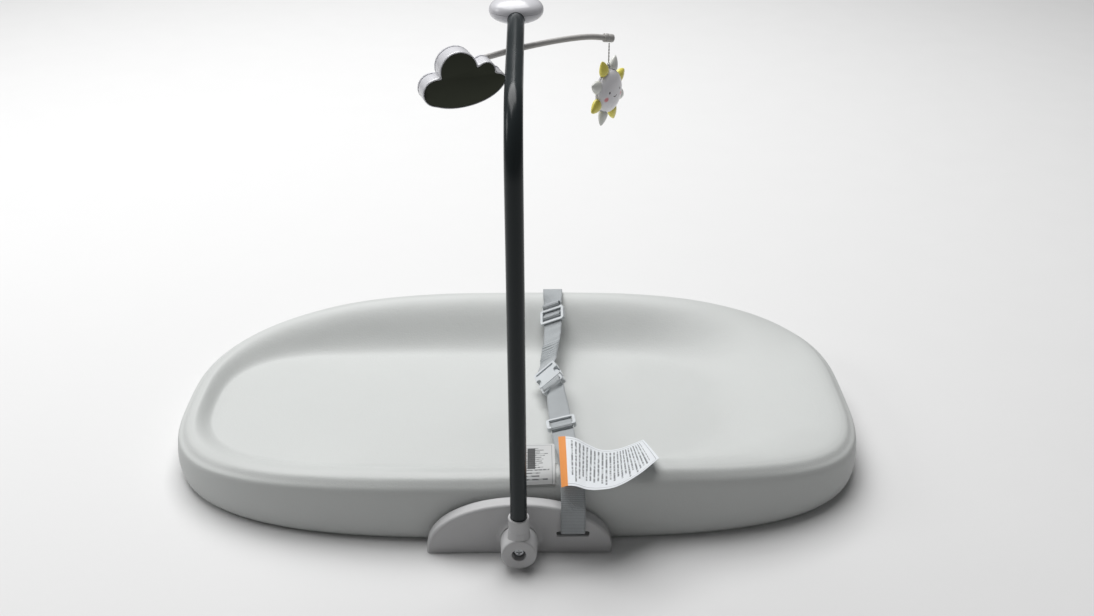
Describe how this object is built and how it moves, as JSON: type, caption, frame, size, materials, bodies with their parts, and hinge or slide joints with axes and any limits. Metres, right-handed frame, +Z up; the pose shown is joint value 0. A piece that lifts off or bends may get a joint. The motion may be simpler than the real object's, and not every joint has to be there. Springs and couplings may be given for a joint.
{
  "type": "baby changing pad",
  "caption": "Contoured moulded foam changing pad with a half-moon bracket, tilting toy arch with turning mobile bar, and a webbing safety belt with buckle.",
  "frame": {"origin": "middle of the flat underside of the foam pad, on the surface it rests on", "axes": "+X along the pad towards the head end, +Y away from the side that carries the toy arch, +Z up"},
  "size_m": [0.8, 0.4787, 0.5292],
  "materials": {
    "foam": "matte",
    "grip_rubber": "matte",
    "grey_shell": "satin",
    "zinc_steel": "satin",
    "dark_paint": "gloss",
    "white_gloss": "gloss",
    "warm_grey": "satin",
    "mirror_sheet": "polished",
    "ray_yellow": "gloss",
    "ray_grey": "gloss",
    "cord_yarn": "matte",
    "webbing": "matte",
    "belt_plastic": "satin",
    "label_cloth": "matte"
  },
  "bodies": {
    "base": {"foam_pad": "foam", "grip_foot_1": "grip_rubber", "grip_foot_2": "grip_rubber", "grip_foot_3": "grip_rubber", "grip_foot_4": "grip_rubber", "bracket_plate": "grey_shell", "pivot_screw": "zinc_steel", "pivot_nut": "zinc_steel", "screw_washer": "zinc_steel", "friction_washer": "zinc_steel", "belt_rear": "webbing", "belt_front": "webbing", "buckle_socket": "belt_plastic", "buckle_plug": "belt_plastic", "long_label": "label_cloth", "short_label": "label_cloth"},
    "mast": {"mast_knuckle": "grey_shell", "mast_tube": "dark_paint", "tube_foot_plug": "grip_rubber", "socket_screw": "zinc_steel", "cap_lower": "white_gloss", "cap_upper": "white_gloss", "cap_screw_1": "zinc_steel", "cap_screw_2": "zinc_steel"},
    "toy_bar": {"toy_bar": "warm_grey", "bar_spindle": "warm_grey", "bar_end_clip": "warm_grey", "cloud_ball": "warm_grey"},
    "cloud": {"cloud_shell": "white_gloss", "cloud_back": "white_gloss", "cloud_mirror": "mirror_sheet"},
    "sun_hanger": {"sun_cord": "cord_yarn"},
    "sun": {"sun_face": "white_gloss", "sun_back": "white_gloss", "sun_ray_1": "ray_grey", "sun_ray_2": "ray_yellow", "sun_ray_3": "ray_grey", "sun_ray_4": "ray_yellow", "sun_ray_5": "ray_grey", "sun_ray_6": "ray_yellow", "sun_ray_7": "ray_grey", "sun_ray_8": "ray_yellow", "sun_eyelet": "zinc_steel"},
    "slider_rear": {"slider_rear": "belt_plastic"},
    "slider_front": {"slider_front": "belt_plastic"},
    "prong_left": {"buckle_prong_left": "belt_plastic"},
    "prong_right": {"buckle_prong_right": "belt_plastic"}
  },
  "joints": [
    {"name": "mast_tilt", "type": "hinge", "parent": "base", "child": "mast", "pos_m": [0.005, -0.25, 0.0226], "axis": [0, 1, 0], "range_deg": [-60, 60]},
    {"name": "bar_turn", "type": "hinge", "parent": "mast", "child": "toy_bar", "pos_m": [0.005, 0, 0.4756], "axis": [0, 0, 1], "continuous": true},
    {"name": "cloud_nod", "type": "hinge", "parent": "toy_bar", "child": "cloud", "pos_m": [-0.05726, -0.0387, 0.46422], "axis": [0.9336, 0.3584, 0], "range_deg": [-25, 25]},
    {"name": "sun_swing", "type": "hinge", "parent": "toy_bar", "child": "sun_hanger", "pos_m": [0.104, 0.05, 0.4676], "axis": [0.8926, 0.4508, 0], "range_deg": [-35, 35]},
    {"name": "sun_turn", "type": "hinge", "parent": "sun_hanger", "child": "sun", "pos_m": [0.104, 0.05, 0.444], "axis": [0, 0, 1], "range_deg": [-180, 180]},
    {"name": "slider_rear_slide", "type": "slide", "parent": "base", "child": "slider_rear", "axis": [0, 0.923, 0.3848], "range_m": [-0.01, 0.005]},
    {"name": "slider_front_slide", "type": "slide", "parent": "base", "child": "slider_front", "axis": [-0.0693, 0.9879, -0.1386], "range_m": [-0.008, 0.008]},
    {"name": "prong_left_squeeze", "type": "hinge", "parent": "base", "child": "prong_left", "pos_m": [0.03507, 0.01313, 0.05252], "axis": [-0.5947, -0.1593, 0.788], "range_deg": [-7, 0], "stiffness_Nm_per_rad": 0.4},
    {"name": "prong_right_squeeze", "type": "hinge", "parent": "base", "child": "prong_right", "pos_m": [0.04861, 0.01676, 0.06348], "axis": [-0.5947, -0.1593, 0.788], "range_deg": [0, 7], "stiffness_Nm_per_rad": 0.4}
  ]
}
